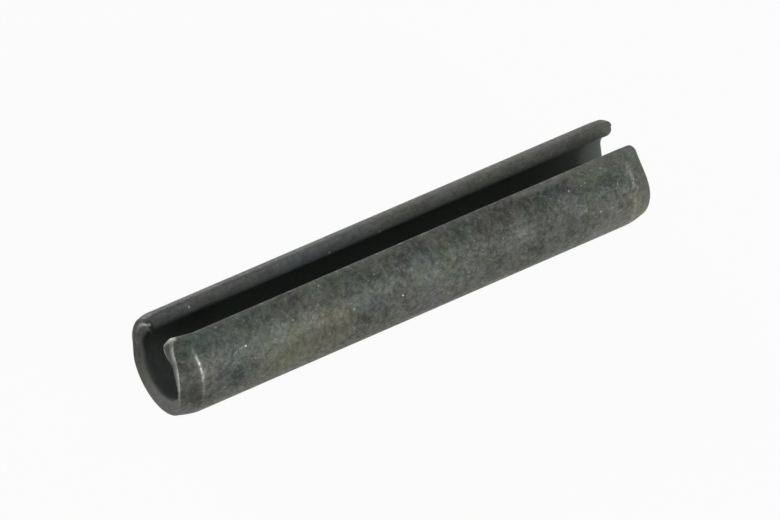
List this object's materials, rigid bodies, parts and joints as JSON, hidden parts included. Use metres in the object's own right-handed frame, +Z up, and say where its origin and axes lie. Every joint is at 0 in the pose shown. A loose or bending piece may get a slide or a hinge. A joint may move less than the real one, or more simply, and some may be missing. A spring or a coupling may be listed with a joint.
{
  "type": "slotted spring pin",
  "caption": "Slotted spring pin rolled from one steel strip, with swaged ends; it closes across its slot to grip a drilled hole.",
  "frame": {"origin": "on the axis of the outer cylinder, half-way along the pin", "axes": "+X along the pin's axis, +Z up through the middle of the slot, as the pin lies at rest"},
  "size_m": [0.045, 0.0088, 0.0083],
  "materials": {
    "blackened_spring_steel": "hardened spring steel, black oxide, tumbled and oiled, worn bright on its edges"
  },
  "bodies": {
    "root": {"spring_pin": "blackened_spring_steel"}
  },
  "joints": []
}
